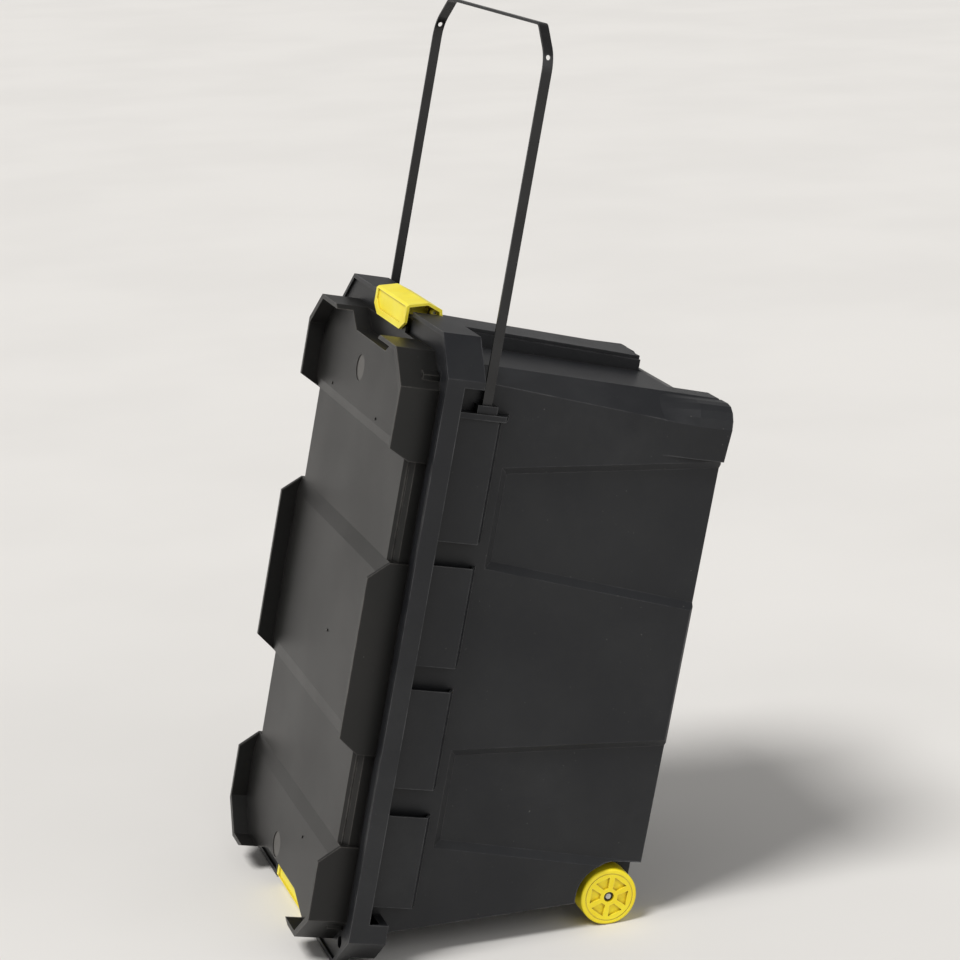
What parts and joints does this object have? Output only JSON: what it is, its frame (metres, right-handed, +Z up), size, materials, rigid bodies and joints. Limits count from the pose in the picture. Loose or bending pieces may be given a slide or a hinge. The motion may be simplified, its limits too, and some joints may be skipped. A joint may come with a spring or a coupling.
{
  "type": "rolling jobsite storage box",
  "caption": "Rolling jobsite storage box with a lift-off lid, latched at both short ends, a sliding pull handle and wheels, standing on its wheel end.",
  "frame": {"origin": "on the ground under the middle of the whole box, handle out, as it stands on its wheels and rest flanges", "axes": "+Z up along the leaning box, +Y along the wheel axle, -X towards the lid"},
  "size_m": [0.6292, 0.546, 1.2503],
  "materials": {
    "shell_plastic": "fine moulded texture, black",
    "lid_plastic": "fine moulded texture, black",
    "yellow_plastic": "satin, yellow",
    "handle_paint": "satin black powder coat",
    "slider_plastic": "plain, black",
    "steel": "bright zinc plate"
  },
  "bodies": {
    "box": {"tub": "shell_plastic", "tub_rim": "shell_plastic", "wheel_axle": "steel", "thrust_washer_right": "steel", "thrust_washer_left": "steel", "push_nut_right": "steel", "push_nut_left": "steel", "handle_end_latch_pin": "steel", "wheel_end_latch_pin": "steel"},
    "lid": {"lid": "lid_plastic"},
    "handle": {"pull_handle": "handle_paint", "slide_block_right": "slider_plastic", "slide_block_left": "slider_plastic", "handle_rivets": "steel"},
    "wheel_right": {"wheel_right": "yellow_plastic"},
    "wheel_left": {"wheel_left": "yellow_plastic"},
    "handle_end_latch": {"handle_end_latch": "yellow_plastic"},
    "wheel_end_latch": {"wheel_end_latch": "yellow_plastic"}
  },
  "joints": [
    {"name": "handle_slide", "type": "slide", "parent": "box", "child": "handle", "axis": [0.2079, 0, 0.9781], "range_m": [-0.4, 0]},
    {"name": "lid_lift", "type": "slide", "parent": "box", "child": "lid", "axis": [-0.9781, 0, 0.2079], "range_m": [0, 0.047]},
    {"name": "handle_end_latch_turn", "type": "hinge", "parent": "box", "child": "handle_end_latch", "pos_m": [-0.05357, 0, 0.85527], "axis": [0, 1, 0], "range_deg": [0, 90]},
    {"name": "wheel_end_latch_turn", "type": "hinge", "parent": "box", "child": "wheel_end_latch", "pos_m": [-0.2324, 0, 0.01407], "axis": [0, -1, 0], "range_deg": [0, 90]},
    {"name": "wheel_right_spin", "type": "hinge", "parent": "box", "child": "wheel_right", "pos_m": [0.12808, 0, 0.041], "axis": [0, 1, 0], "continuous": true},
    {"name": "wheel_left_spin", "type": "hinge", "parent": "box", "child": "wheel_left", "pos_m": [0.12808, 0, 0.041], "axis": [0, 1, 0], "continuous": true}
  ],
  "couplings": [
    {"joint": "handle_end_latch_turn", "follows": "lid_lift", "rad_per_m": 33.33},
    {"joint": "wheel_end_latch_turn", "follows": "lid_lift", "rad_per_m": 33.33}
  ]
}
